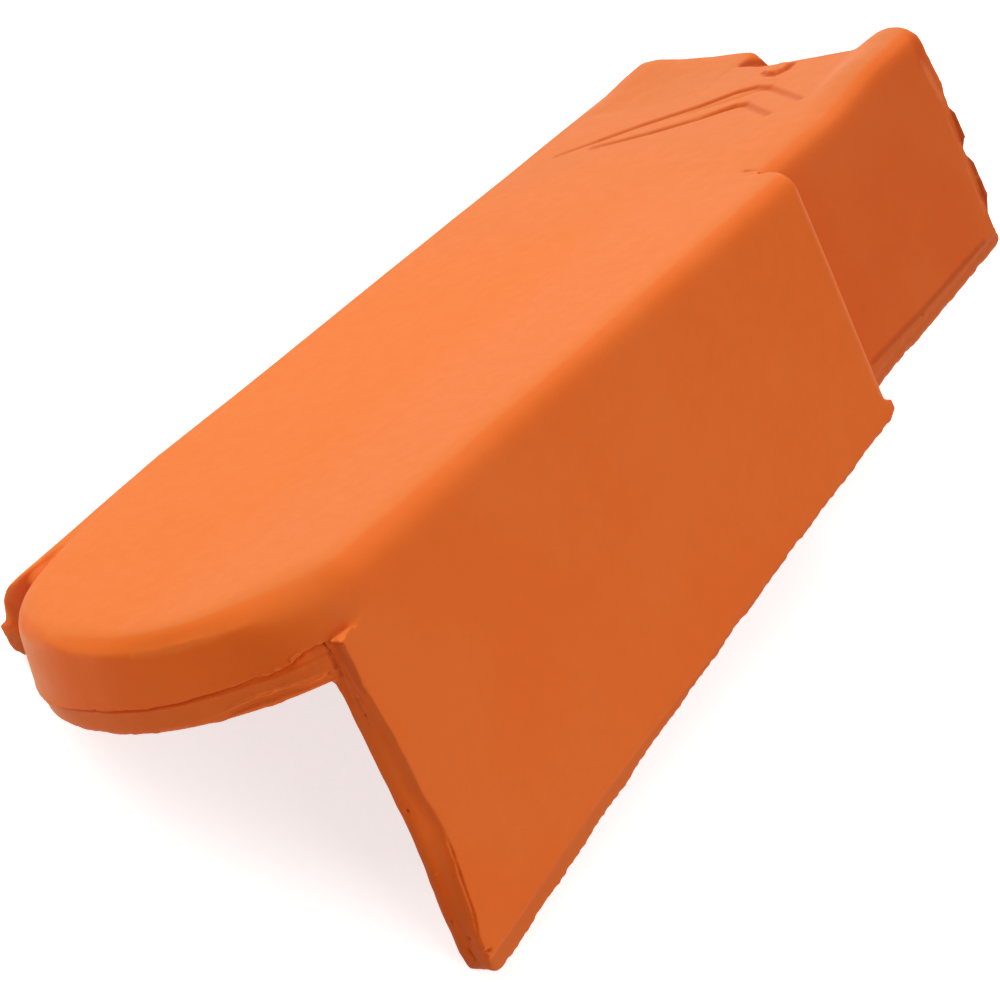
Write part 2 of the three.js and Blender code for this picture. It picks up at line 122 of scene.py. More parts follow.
# Lamps: direction from the tile, distance and size in metres, and watts.
SOFTBOXES = {
    "over_left": ((-0.55, 0.25, 0.85), 2.2, 1.4, 13.1),
    "over_head": ((-0.30, 0.80, 0.75), 2.2, 1.4, 20.4),
    "over_tail": ((-0.65, -0.35, 0.75), 1.4, 1.0, 7.0),
    "verge_side": ((0.90, -0.20, 0.50), 1.0, 0.7, 3.2),
}


def add_softbox(name, toward, distance, size, watts):
    """Square lamp in a direction from the tile, aimed at it."""
    data = bpy.data.lights.new(name, "AREA")
    data.size = size
    data.energy = watts
    lamp = bpy.data.objects.new(name, data)
    bpy.context.collection.objects.link(lamp)
    direction = Vector(toward).normalized()
    lamp.location = direction * distance
    lamp.rotation_euler = direction.to_track_quat("Z", "Y").to_euler()


def add_world():
    """Soft even light, and white wherever the camera or a reflection looks past the floor."""
    world = bpy.data.worlds.new("studio")
    world.use_nodes = True
    bpy.context.scene.world = world
    nodes, links = world.node_tree.nodes, world.node_tree.links
    nodes.clear()
    out = nodes.new("ShaderNodeOutputWorld")
    ambient = nodes.new("ShaderNodeBackground")
    ambient.inputs["Color"].default_value = (1.0, 0.93, 0.84, 1.0)
    ambient.inputs["Strength"].default_value = AMBIENT
    white = nodes.new("ShaderNodeBackground")
    white.inputs["Strength"].default_value = 1.0
    seen = seen_by_eye_or_gloss(nodes, links)
    mix = nodes.new("ShaderNodeMixShader")
    links.new(seen, mix.inputs["Fac"])
    links.new(ambient.outputs[0], mix.inputs[1])
    links.new(white.outputs[0], mix.inputs[2])
    links.new(mix.outputs[0], out.inputs["Surface"])


def seen_by_eye_or_gloss(nodes, links):
    """Socket that is 1 for camera, glossy and transmission rays."""
    path = nodes.new("ShaderNodeLightPath")
    either = nodes.new("ShaderNodeMath")
    either.operation = "MAXIMUM"
    links.new(path.outputs["Is Camera Ray"], either.inputs[0])
    links.new(path.outputs["Is Glossy Ray"], either.inputs[1])
    every = nodes.new("ShaderNodeMath")
    every.operation = "MAXIMUM"
    links.new(either.outputs[0], every.inputs[0])
    links.new(path.outputs["Is Transmission Ray"], every.inputs[1])
    return every.outputs[0]


def add_floor():
    bpy.ops.mesh.primitive_plane_add(size=FLOOR_SIZE)
    floor = bpy.context.object
    floor.name = "floor"
    material = bpy.data.materials.new("pale_floor")
    material.use_nodes = True
    nodes, links = material.node_tree.nodes, material.node_tree.links
    nodes.clear()
    out = nodes.new("ShaderNodeOutputMaterial")
    paper = nodes.new("ShaderNodeBsdfDiffuse")
    paper.inputs["Color"].default_value = (FLOOR_TONE, FLOOR_TONE, FLOOR_TONE, 1.0)
    glow = nodes.new("ShaderNodeEmission")
    both = nodes.new("ShaderNodeAddShader")
    mix = nodes.new("ShaderNodeMixShader")
    glow.inputs["Strength"].default_value = FLOOR_GLOW
    links.new(paper.outputs[0], both.inputs[0])
    links.new(glow.outputs[0], both.inputs[1])
    links.new(seen_by_eye_or_gloss(nodes, links), mix.inputs["Fac"])
    links.new(paper.outputs[0], mix.inputs[1])
    links.new(both.outputs[0], mix.inputs[2])
    links.new(mix.outputs[0], out.inputs["Surface"])
    floor.data.materials.append(material)


# ---- numbers of the clay's shape, all in mm and in the tile's own axes ---------------------------
VOXEL = 0.8                              # size of the even mesh's quads
MOST_TRIANGLES = 190000
STEP_Y = 270.0                           # where the lap begins
HEAD_Y = 377.0                           # head of the face
LAP_END_Y = 380.2                        # rear end of the lap
PARTING_Z = -24.0                        # the solid's parting step
FLANGE_FRONT_Y = -1.2                    # cut front end of the flange

# Edge of the tail seen from above: a straight run and two cubic curves that meet at the foremost point.
TAIL_CURVES = [
    [(-162.0, 94.0), (-159.5, 73.7), (-156.9, 53.3), (-154.4, 33.0)],
    [(-154.4, 33.0), (-148.0, -22.3), (-78.0, -30.5), (-69.0, -30.5)],
    [(-69.0, -30.5), (-38.0, -30.5), (0.0, -8.0), (0.0, 16.0)],
]
# How far the flange's front arris lies back of Y = 0, down its height.
ARRIS_Z = [-140.0, -132.0, -130.0, -125.0, -119.0, -113.0, -107.0, -100.0, -94.0, -90.0, -82.0,
           -75.0, -64.0, -54.0, -47.0, -41.0, -36.0, -31.0, -21.0]
ARRIS_Y = [-2.2, -2.4, -2.8, -2.2, -0.5, 0.0, 0.8, 2.0, 2.5, 3.1, 2.2,
           1.2, 1.2, 0.4, -0.5, -0.9, -2.2, -1.7, -1.7]
# How far the flange's inner side is pushed at its front, down its height.
INNER_Z = [-141.0, -133.0, -122.0, -116.0, -111.0, -100.0, -89.0, -72.0, -58.0, -42.0, -37.0, -33.0]
INNER_X = [-1.3, -1.9, -1.5, -1.4, -1.0, -0.2, 0.2, 0.2, -0.2, -0.7, -0.7, 0.0]
# How far the rear end of the lap stands out past LAP_END_Y, down its height.
REAR_Z = [-90.0, -84.0, -81.0, -77.0, -71.0, -68.0, -65.0, -59.0, -56.0, -52.0, -48.0, -45.0,
          -42.0, -33.0, -29.0, -25.0, -20.0, -17.0, -13.0, -8.0, 0.0]
REAR_OUT = [-1.0, -0.6, 0.2, -1.6, -1.4, 0.2, 1.5, 1.5, 1.1, 1.0, -1.3, -1.4,
            1.3, 1.6, -0.2, -0.1, 0.9, 0.5, -0.2, -0.6, -0.8]
# Height of the parting line round the tail, and of the rim below it, along X.
PARTING_X = [-130.0, -115.0, -100.0, -86.0, -70.0, -50.0, -28.0, -20.0, -15.0, -12.0, -9.5]
PARTING_AT = [-26.2, -25.2, -24.0, -23.2, -23.6, -23.4, -22.9, -22.9, -22.0, -21.0, -20.5]
RIM_X = [-48.0, -27.0, -20.0, -16.0, -12.6, -9.6]
RIM_Z = [-31.0, -28.3, -28.4, -29.0, -30.0, -29.7]
# Crest of the roll at the front of the face.
ROLL = [(-118.0, -8.0, -4.0), (-104.0, -19.0, -3.8), (-90.0, -27.0, -4.0), (-79.7, -29.4, -4.6),
        (-66.0, -30.3, -5.2), (-52.0, -28.4, -6.2)]
CREST = [(-58.0, -29.6, -4.9), (-46.0, -26.9, -5.6), (-28.6, -19.6, -5.8), (-13.0, -8.4, -4.2)]
# The two chevrons pressed into the head, from the left end over the apex to the right end.
CHEVRONS = [
    [(-143.0, 319.5, 0.0), (-128.4, 328.0, 0.0), (-115.0, 335.8, 0.0), (-92.4, 345.8, 0.0),
     (-80.5, 353.4, 0.0), (-73.0, 355.0, 0.0), (-65.3, 352.8, 0.0), (-38.9, 335.1, 0.0)],
    [(-126.7, 321.4, 0.0), (-102.9, 326.9, 0.0), (-83.7, 333.3, 0.0), (-73.0, 339.6, 0.0),
     (-68.0, 339.8, 0.0), (-46.8, 325.1, 0.0)],
]
# How deep a chevron is at a share of its length.
CHEVRON_SHARE = [0.0, 0.15, 0.45, 0.60, 0.72, 1.0]
CHEVRON_DEPTH = [0.1, 0.55, 0.8, 1.0, 0.55, 0.1]


def cubic(curve, steps):
    t = np.linspace(0.0, 1.0, steps)[:, None]
    a, b, c, d = (np.array(point) for point in curve)
    return a * (1 - t) ** 3 + 3 * b * t * (1 - t) ** 2 + 3 * c * t * t * (1 - t) + d * t ** 3


def smoothstep(low, high, value):
    t = np.clip((value - low) / (high - low), 0.0, 1.0)
    return t * t * (3.0 - 2.0 * t)


def hill(value, center, width):
    return np.exp(-(((value - center) / width) ** 2))


def lattice(cells, seed):
    """Repeatable random number from -1 to 1 for each whole-numbered cell."""
    cells = cells.astype(np.int64)
    mixed = cells[:, 0] * 73856093 ^ cells[:, 1] * 19349663 ^ cells[:, 2] * 83492791 ^ seed * 2654435
    mixed = (mixed ^ (mixed >> 13)) * 1274126177 & 0xFFFFFFFF
    mixed = (mixed ^ (mixed >> 16)) & 0xFFFFFF
    return mixed / float(0x7FFFFF) - 1.0


def noise(points, size, seed):
    """Smooth noise from -1 to 1 whose lumps are about that size."""
    scaled = points / size
    cell = np.floor(scaled)
    t = scaled - cell
    t = t * t * t * (t * (t * 6.0 - 15.0) + 10.0)
    total = np.zeros(len(points))
    for corner in range(8):
        step = np.array([corner & 1, corner >> 1 & 1, corner >> 2 & 1])
        weight = np.where(step, t, 1.0 - t).prod(axis=1)
        total += weight * lattice(cell + step, seed)
    return total


def along(points, path):
    """Distance of each point from a path, and the share of the path where it is nearest."""
    nearest = np.full(len(points), np.inf)
    place = np.zeros(len(points))
    lengths = np.linalg.norm(np.diff(path, axis=0), axis=1)
    passed = 0.0
    for start, end, length in zip(path[:-1], path[1:], lengths):
        t = np.clip((points - start) @ (end - start) / length ** 2, 0.0, 1.0)
        gap = np.linalg.norm(points - start - t[:, None] * (end - start), axis=1)
        closer = gap < nearest
        nearest[closer] = gap[closer]
        place[closer] = (passed + t[closer] * length) / lengths.sum()
        passed += length
    return nearest, place


def stroke(points, path, width, push, ragged=0.3, seed=0, profile=None):
    """Push the clay along a path: a groove, a ridge, a pit or a lump, ragged along its length."""
    path = np.array(path, dtype=float)
    low, high = path.min(axis=0) - 3 * width, path.max(axis=0) + 3 * width
    near = np.flatnonzero(((points > low) & (points < high)).all(axis=1))
    gap, place = along(points[near], path)
    strength = hill(gap, 0.0, width)
    strength *= 1.0 + ragged * noise(points[near], 2.2, 40 + seed)
    if profile:
        strength *= np.interp(place, *profile)
    elif len(path) > 2:
        strength *= np.clip(8.0 * np.minimum(place, 1.0 - place), 0.0, 1.0)
    points[near] += strength[:, None] * np.array(push, dtype=float)


def apply_modifiers(piece):
    done = piece.evaluated_get(bpy.context.evaluated_depsgraph_get())
    mesh = bpy.data.meshes.new_from_object(done)
    piece.modifiers.clear()
    old = piece.data
    piece.data = mesh
    bpy.data.meshes.remove(old)


def get_points(mesh):
    points = np.empty(len(mesh.vertices) * 3)
    mesh.vertices.foreach_get("co", points)
    return points.reshape(-1, 3) / MM


def set_points(mesh, points):
    mesh.vertices.foreach_set("co", (points * MM).ravel())
    mesh.update()


def get_normals(mesh):
    normals = np.empty(len(mesh.vertices) * 3)
    mesh.vertex_normals.foreach_get("vector", normals)
    return normals.reshape(-1, 3)


def get_edges(mesh):
    ends = np.empty(len(mesh.edges) * 2, dtype=np.int32)
    mesh.edges.foreach_get("vertices", ends)
    return ends.reshape(-1, 2)


def relax(mesh, points, weights, rounds):
    """Move each point towards the mean of its neighbours, by its weight."""
    left, right = get_edges(mesh).T
    counts = np.bincount(left, minlength=len(points)) + np.bincount(right, minlength=len(points))
    for _ in range(rounds):
        mean = np.empty_like(points)
        for axis in range(3):
            values = points[:, axis]
            total = np.bincount(left, values[right], len(points))
            total += np.bincount(right, values[left], len(points))
            mean[:, axis] = total / counts
        points += (mean - points) * weights[:, None]
    return points


def remeshed_tile():
    """The CAD solid as an even mesh of small quads, in the tile's own axes."""
    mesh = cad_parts[NODE].data.copy()
    mesh.transform(TILE.inverted())
    piece = bpy.data.objects.new("clay_tile", mesh)
    bpy.context.collection.objects.link(piece)
    remesh = piece.modifiers.new("remesh", "REMESH")
    remesh.mode = "VOXEL"
    remesh.voxel_size = VOXEL * MM
    apply_modifiers(piece)
    return piece


def soften(piece):
    """Take the steps of the mesh out of the surface, most on the pressed roundings."""
    points = get_points(piece.data)
    x, y, z = points.T
    rounding = smoothstep(-19.0, -14.0, z) * np.maximum(smoothstep(-46.0, -37.0, x),
                                                        smoothstep(60.0, 45.0, y))
    rounding *= 1.0 - hill(y, STEP_Y + 1.0, 5.0) * (x > -30.0)
    rounding *= smoothstep(LAP_END_Y - 1.0, LAP_END_Y - 5.0, y)
    rounding *= 1.0 - hill(x, -6.0, 9.0) * hill(y, 1.0, 5.0) * hill(z, -18.0, 5.0)
    rounding *= 1.0 - smoothstep(-148.0, -155.0, x) * smoothstep(8.0, 24.0, y)
    points = relax(piece.data, points, np.full(len(points), 0.5), 3)
    points = relax(piece.data, points, 0.5 * rounding, 30)
    pressed = np.zeros(len(points))
    head = np.flatnonzero((y > 300.0) & (y < 365.0) & (z > -4.0))
    for chevron in CHEVRONS:
        gap, _ = along(points[head], np.array(chevron))
        pressed[head] = np.maximum(pressed[head], smoothstep(7.0, 4.0, gap))
    points = relax(piece.data, points, 0.5 * pressed, 12)
    set_points(piece.data, points)


def fine_zone(centers):
    """Where the relief is too fine for the even mesh."""
    x, y, z = centers.T
    tail = np.vstack([cubic(curve, 16) for curve in TAIL_CURVES])
    from_tail, _ = along(centers[:, :2], tail)
    skirt = (from_tail < 3.5) & (z < -20.5)
    front = (y < 8.0) & (x > -16.0) & (z < -17.0)
    rail = (x < -148.0) & (y < 18.0)
    step = (np.abs(y - STEP_Y) < 3.0) & (x > -26.0)
    lap_end = (y > 374.0) & (x > -30.0)
    low_edge = (x > -3.0) & (z < flange_foot(y) + 5.0) & (y < 275.0)
    lap_low = (x > -16.0) & (z < -74.0) & (y > 268.0)
    stud = (np.hypot(x + 72.0, y - 369.0) < 9.0) & (z > -2.0)
    fine = skirt | front | rail | step | lap_end | low_edge | lap_low | stud
    head = np.flatnonzero((y > 314.0) & (y < 360.0) & (x < -36.0) & (z > -3.0))
    for chevron in CHEVRONS:
        gap, _ = along(centers[head], np.array(chevron))
        fine[head[gap < 3.4]] = True
    return fine


def flange_foot(y):
    """Height of the flange's lower edge at a place along it."""
    return np.interp(y, [0.0, 67.5, 135.0, 202.5, 270.0], [-140.5, -127.4, -115.8, -105.9, -97.5])


def refine(piece):
    """Split the quads of the fine zones in four."""
    count = len(piece.data.polygons)
    centers = np.empty(count * 3)
    piece.data.polygons.foreach_get("center", centers)
    fine = np.flatnonzero(fine_zone(centers.reshape(-1, 3) / MM))
    mesh = bmesh.new()
    mesh.from_mesh(piece.data)
    mesh.faces.ensure_lookup_table()
    edges = {edge for face in fine for edge in mesh.faces[face].edges}
    bmesh.ops.subdivide_edges(mesh, edges=sorted(edges, key=lambda edge: edge.index), cuts=1,
                              use_grid_fill=True)
    mesh.to_mesh(piece.data)
    mesh.free()


def shape_surface(points, normals):
    """Slight unevenness of pressed and fired clay."""
    swell = 0.13 * noise(points, 38.0, 1) + 0.03 * noise(points, 13.0, 2)
    points += swell[:, None] * normals


def shape_skirt(points, normals):
    """The parting line round the tail, the burr along it and the ragged lower edge."""
    tail = np.vstack([cubic(curve, 24) for curve in TAIL_CURVES])
    near = np.flatnonzero((points[:, 2] < -18.0) & (points[:, 1] < 60.0) & (points[:, 0] < -7.0))
    gap, place = along(points[near, :2], tail)
    near, place = near[gap < 3.2], place[gap < 3.2]
    spot = points[near]
    flat = spot * np.array([1.0, 1.0, 0.15])
    wander = 0.55 * noise(flat, 9.0, 11) + 0.25 * noise(flat, 2.6, 12)
    torn = smoothstep(-30.0, -18.0, spot[:, 0])
    parting = np.interp(spot[:, 0], PARTING_X, PARTING_AT) + wander + 0.9 * torn * noise(flat, 2.6, 19)
    out = normals[near] * np.array([1.0, 1.0, 0.0])
    size = np.linalg.norm(out, axis=1)
    out /= np.maximum(size, 0.2)[:, None]
    facing = smoothstep(0.3, 0.7, size)
    ledge_now = smoothstep(PARTING_Z + 0.5, PARTING_Z - 0.9, spot[:, 2])
    ledge = smoothstep(parting + 0.3, parting - 0.3, spot[:, 2])
    burr = np.clip(noise(flat, 3.1, 13) + 0.15, 0.0, 1.0)
    burr += 1.4 * torn * np.clip(noise(flat, 1.9, 18), 0.0, 1.0)
    push = 0.9 * (ledge_now - ledge)
    push -= 0.65 * hill(spot[:, 2], parting - 0.35, 0.42)
    push += 0.55 * burr * hill(spot[:, 2], parting + 0.45, 0.4)
    rim = np.interp(spot[:, 0], RIM_X, RIM_Z) + 0.35 * noise(flat, 5.0, 14)
    right = smoothstep(-48.0, -34.0, spot[:, 0])
    bead = np.clip(0.6 + noise(flat, 3.0, 15), 0.0, 1.4) * hill(spot[:, 2], rim, 0.5)
    push += (0.15 + 0.8 * right) * bead
    below = smoothstep(rim - 0.2, rim - 1.0, spot[:, 2]) * smoothstep(rim - 3.4, rim - 2.2, spot[:, 2])
    push -= 0.7 * right * below
    points[near] += (push * facing)[:, None] * out
    foot = smoothstep(-30.5, -33.5, spot[:, 2])
    points[near, 2] += foot * (0.45 * noise(flat, 7.0, 16) + 0.25 * noise(flat, 2.4, 17))


def shape_head(points):
    """The worn stud, the hollow pressed round it, and the ridge's end behind the lap."""
    x, y, z = points.T
    stud = smoothstep(7.5, 5.5, np.hypot(x + 72.0, y - 370.0)) * (z > 0.3)
    points[:, 2] -= 0.6 * stud * (z - 0.3)
    stroke(points, [(-78.5, 369.8, 0.0), (-75.5, 365.8, 0.0), (-70.5, 364.6, 0.0), (-66.4, 369.0, 0.0)],
           1.5, (0, 0, -0.5), 0.0, 11)
    ridge = hill(x, -28.0, 8.0) * smoothstep(362.0, 375.0, y) * smoothstep(-8.0, -4.0, z)
    points[:, 2] += 0.9 * ridge


def shape_head_edge(points):
    """The head's edge, swept back into the flank of the tab."""
    x, y, z = points.T
    edge = HEAD_Y + 4.2 * smoothstep(-83.0, -97.0, x) * smoothstep(-118.0, -102.0, x)
    before = HEAD_Y - 7.0 + (y - HEAD_Y + 7.0) * (edge - HEAD_Y + 7.0) / 7.0
    behind = edge + (y - HEAD_Y) * (HEAD_Y + 6.0 - edge) / 6.0
    near = (np.abs(x + 100.0) < 19.0) & (y > HEAD_Y - 7.0) & (y < HEAD_Y + 6.0) & (z > -14.5)
    points[:, 1] = np.where(near, np.where(y < HEAD_Y, before, behind), y)


def shape_crest(points):
    """The low roll where the face turns down at its front."""
    stroke(points, CREST, 1.8, (0.0, -0.5, 0.6), 0.2, 10)
    stroke(points, ROLL, 2.8, (0.0, -0.55, 0.65), 0.1, 14)
    stroke(points, [(-14.4, -9.9, -21.2), (-12.2, -7.9, -20.5)], 0.6, (0.0, -0.7, 0.2), 0.3, 15)


def shape_shoulder(points, normals):
    """The flat facet on the flange's top front corner, kept crisp."""
    corner = np.array([-5.9, -1.2, -20.2])
    normal = np.array([0.064, -0.315, 0.947])
    x, y, z = points.T
    off = (points - corner) @ normal
    left = (y + 1.2) - (x + 5.9) * 6.3 / 5.9
    inside = (x > -6.2) & (x < 0.15) & (y > -1.45) & (left < 0.15) & (off > -1.7) & (off < 1.4)
    inside &= normals[:, 2] > 0.2
    points[inside] -= off[inside, None] * normal


def shape_flange_front(points):
    """The cut front end of the flange: arris drawn back, a soft fold, grooves, pits and a chip."""
    x, y, z = points.T
    drawn = np.interp(z, ARRIS_Z, ARRIS_Y) - FLANGE_FRONT_Y
    drawn *= smoothstep(-7.5, -1.5, x) * hill(np.maximum(y - FLANGE_FRONT_Y, 0.0), 0.0, 8.0)
    drawn *= smoothstep(-19.0, -22.0, z)
    points[:, 1] += drawn
    inward = np.interp(points[:, 2], INNER_Z, INNER_X) * smoothstep(-7.0, -10.5, points[:, 0])
    inward *= smoothstep(7.0, 1.0, points[:, 1]) * (points[:, 0] > -16.0)
    points[:, 0] += inward
    on_front = (np.abs(points[:, 0] + 6.0) < 9.0) & (points[:, 1] < 5.0) & (points[:, 2] < -19.0)
    near = np.flatnonzero(on_front)
    spot = points[near]
    rough = 0.22 * noise(spot, 6.0, 21) + 0.12 * noise(spot * np.array([1.0, 1.0, 0.3]), 1.6, 22)
    points[near, 1] += rough * smoothstep(4.0, 1.0, spot[:, 1])
    stroke(points, [(-8.2, -1.5, -20.0), (-7.6, -1.5, -25.0), (-7.9, -1.5, -30.0), (-8.8, -1.5, -38.0),
                    (-9.0, -1.2, -44.0)], 1.1, (0, 0.8, 0), 0.2, 1)
    stroke(points, [(-5.9, -1.5, -20.0), (-5.6, -1.5, -26.0), (-5.2, -1.5, -31.0), (-4.6, -1.2, -38.0),
                    (-4.2, -1.2, -52.0)], 0.9, (0, 0.6, 0), 0.3, 2)
    stroke(points, [(-4.2, -1.2, -50.0), (-3.8, -1.0, -67.0), (-3.2, -0.5, -80.0), (-2.7, 0.6, -95.0)],
           1.6, (0, 0.6, 0), 0.2, 3)
    stroke(points, [(-9.5, -1.3, -46.0), (-8.6, -1.3, -66.0), (-8.2, -1.2, -90.0), (-8.5, -1.2, -118.0)],
           1.6, (0, -0.35, 0), 0.3, 4)
    stroke(points, [(0.0, 2.6, -92.0), (0.0, 2.1, -99.0), (0.0, 0.9, -107.0), (0.0, 0.0, -113.0),
                    (-0.2, -0.6, -119.0), (-0.6, -2.8, -126.0)], 0.7, (-0.8, 0.9, 0), 0.3, 5)
    stroke(points, [(-8.7, -1.3, -130.0), (-8.0, -1.3, -133.0), (-7.2, -1.3, -136.0)],
           0.5, (0, 1.2, 0), 0.2, 6)
    stroke(points, [(-0.1, -3.6, -130.6), (0.0, -1.6, -131.2), (0.0, 0.4, -131.9)],
           0.55, (-1.3, 0, 0), 0.1, 7)
    for pit, width, depth in [((-6.2, -1.3, -46.6), 0.7, 1.2), ((-6.4, -1.3, -49.5), 0.5, 0.6),
                              ((-7.1, -1.3, -80.4), 0.6, 1.2), ((-6.0, -1.3, -127.0), 0.6, 1.0),
                              ((-10.2, -1.3, -120.7), 0.6, 0.8), ((-3.0, -1.5, -20.6), 0.9, 0.8)]:
        stroke(points, [pit, np.array(pit) + (0.1, 0, -0.6)], width, (0, depth, 0), 0.0)
    for bit, width in [((-6.8, -1.3, -38.0), 0.5), ((-7.3, -1.3, -103.3), 0.5), ((-7.2, -1.3, -46.8), 0.4)]:
        stroke(points, [bit, np.array(bit) + (0.4, 0, 0.5)], width, (0, -0.6, 0), 0.0)


def shape_foot(points):
    """The lower edges of the flange and of the lap, cut unevenly."""
    x, y, z = points.T
    line = points * np.array([0.0, 1.0, 0.0])
    above = z - flange_foot(y)
    near = smoothstep(9.0, 1.5, above) * smoothstep(STEP_Y + 1.0, STEP_Y - 1.0, y) * (x > -30.0) * (z < -60.0)
    ragged = 0.28 * noise(line, 13.0, 31) + 0.22 * noise(line, 5.0, 32) + 0.15 * noise(line, 2.0, 33)
    points[:, 2] += near * ragged
    lap = smoothstep(-74.0, -80.0, z) * smoothstep(STEP_Y + 1.0, STEP_Y + 3.0, y) * (x > -30.0)
    ragged = 0.55 * noise(line, 11.0, 34) + 0.35 * noise(line, 4.0, 35) + 0.15 * noise(line, 1.9, 36)
    points[:, 2] += lap * (ragged - 0.3)


def shape_step(points):
    """The lip at the step's lower corner, and the crevice where the lap comes out of it."""
    near = np.flatnonzero((np.abs(points[:, 0] + 18.0) < 7.0) & (np.abs(points[:, 1] - 273.0) < 4.5)
                          & (points[:, 2] > -5.0))
    spot = points[near]
    edge = STEP_Y + 0.3 + 3.5 * smoothstep(-10.0, -21.0, spot[:, 0])
    lip = smoothstep(edge + 0.3, edge - 0.3, spot[:, 1]) * (spot[:, 1] > STEP_Y - 0.6)
    lip *= smoothstep(-13.5, -15.0, spot[:, 0])
    points[near, 2] += lip * np.maximum(-0.1 - spot[:, 2], 0.0)
    stroke(points, [(-23.5, 274.8, -0.6), (-21.0, 274.8, -0.7), (-18.0, 274.0, -1.2), (-15.0, 272.8, -3.4)],
           0.7, (0, 0, -0.9), 0.2, 8)
    stroke(points, [(-1.0, 270.0, -92.0), (-1.0, 270.0, -94.4)], 1.7, (0.4, 3.3, 0.1), 0.1, 9)


def shape_rear_end(points):
    """Lumps of torn clay along the lap's rear edge."""
    near = np.flatnonzero((points[:, 1] > LAP_END_Y - 4.0) & (points[:, 0] > -30.0) & (points[:, 2] < 8.0))
    spot = points[near]
    line = spot * np.array([0.5, 0.2, 1.0])
    out = np.interp(spot[:, 2], REAR_Z, REAR_OUT) * smoothstep(-27.0, -18.0, spot[:, 0])
    out += 0.3 * noise(line, 6.0, 37) + 0.25 * noise(line, 2.4, 38)
    points[near, 1] += out * smoothstep(LAP_END_Y - 3.0, LAP_END_Y - 0.8, spot[:, 1])
    lump = smoothstep(0.6, 1.4, np.interp(spot[:, 2], REAR_Z, REAR_OUT)) * smoothstep(-16.5, -14.0, spot[:, 0])
    points[near, 0] += 0.5 * lump * hill(spot[:, 1], LAP_END_Y - 0.5, 1.6)
    points[near, 0] -= 0.5 * lump * hill(spot[:, 1], LAP_END_Y - 3.4, 1.0)


def shape_chevrons(points):
    """The two arrow marks, deepest at their apex."""
    for path in CHEVRONS:
        stroke(points, path, 1.35, (0, 0, -1.15), 0.0, profile=(CHEVRON_SHARE, CHEVRON_DEPTH))


def shape_rail(points):
    """The burr on the rail's front end, its sloped inner side and the slight swelling behind it."""
    x, y, z = points.T
    fill = -0.8 - 0.85 * np.maximum(x + 155.2, 0.0)
    share = smoothstep(-155.8, -154.4, x) * smoothstep(11.0, 30.0, y) * smoothstep(62.0, 40.0, y)
    share *= (z > -9.5) & (z < fill)
    points[:, 2] += share * (fill - z)
    points[:, 0] -= 0.6 * smoothstep(-157.0, -160.0, points[:, 0]) * smoothstep(140.0, 70.0, points[:, 1])
    stroke(points, [(-161.5, 10.8, -13.2), (-157.0, 10.8, -12.6), (-153.0, 10.8, -12.6)],
           0.7, (0, -0.9, 0.1), 0.3, 12)
    stroke(points, [(-162.3, 11.5, -13.4), (-162.5, 14.0, -13.6)], 1.0, (-1.1, -0.4, 0), 0.2, 13)
    near = np.flatnonzero((points[:, 1] < 20.0) & (points[:, 0] < -148.0) & (points[:, 2] < -14.0))
    spot = points[near]
    rough = 0.35 * noise(spot, 4.5, 39) + 0.15 * noise(spot, 1.8, 40) - 0.3
    rough *= smoothstep(-13.0, -16.0, spot[:, 2])
    points[near] += rough[:, None] * np.array([0.8, 0.8, 0.6])


def shape_pits(points, normals):
    """Pits and specks pressed into the outer surfaces."""
    for pit, width, depth in [((0.0, 7.1, -11.0), 0.6, 0.7), ((-13.0, 321.4, -82.6), 0.7, 0.9),
                              ((-66.5, -30.2, -28.0), 0.6, 1.0), ((-47.4, -28.4, -28.0), 0.5, 0.6),
                              ((-69.8, -30.2, -28.6), 0.5, 0.5), ((-129.9, -3.8, -12.0), 0.5, 0.5)]:
        gap = np.linalg.norm(points - np.array(pit), axis=1)
        near = np.flatnonzero(gap < 3.0 * width)
        points[near] -= (depth * hill(gap[near], 0.0, width))[:, None] * normals[near]


def keep_above_floor(points):
    room = np.array(TILE)
    height = points @ room[2, :3] + room[2, 3] / MM
    points += np.maximum(-height, 0.0)[:, None] * room[2, :3]


def thin_out(piece):
    """Spend the triangles where the surface bends."""
    quads = sum(len(face.vertices) - 2 for face in piece.data.polygons)
    decimate = piece.modifiers.new("thin", "DECIMATE")
    decimate.ratio = MOST_TRIANGLES / quads
    decimate.use_collapse_triangulate = True
    apply_modifiers(piece)


def make_tile():
    piece = remeshed_tile()
    soften(piece)
    refine(piece)
    points, normals = get_points(piece.data), get_normals(piece.data)
    shape_surface(points, normals)
    shape_skirt(points, normals)
    shape_crest(points)
    shape_head(points)
    shape_head_edge(points)
    shape_flange_front(points)
    shape_shoulder(points, normals)
    shape_foot(points)
    shape_step(points)
    shape_rear_end(points)
    shape_chevrons(points)
    shape_rail(points)
    shape_pits(points, normals)
    keep_above_floor(points)
    set_points(piece.data, points)
    thin_out(piece)
    split_at_marks(piece)
    write_marks(piece.data)
    piece.data.shade_smooth()
    piece.data.transform(TILE)
    piece.data.materials.clear()
    piece.data.materials.append(clay_material())
    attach(piece, "root")
    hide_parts(NODE)


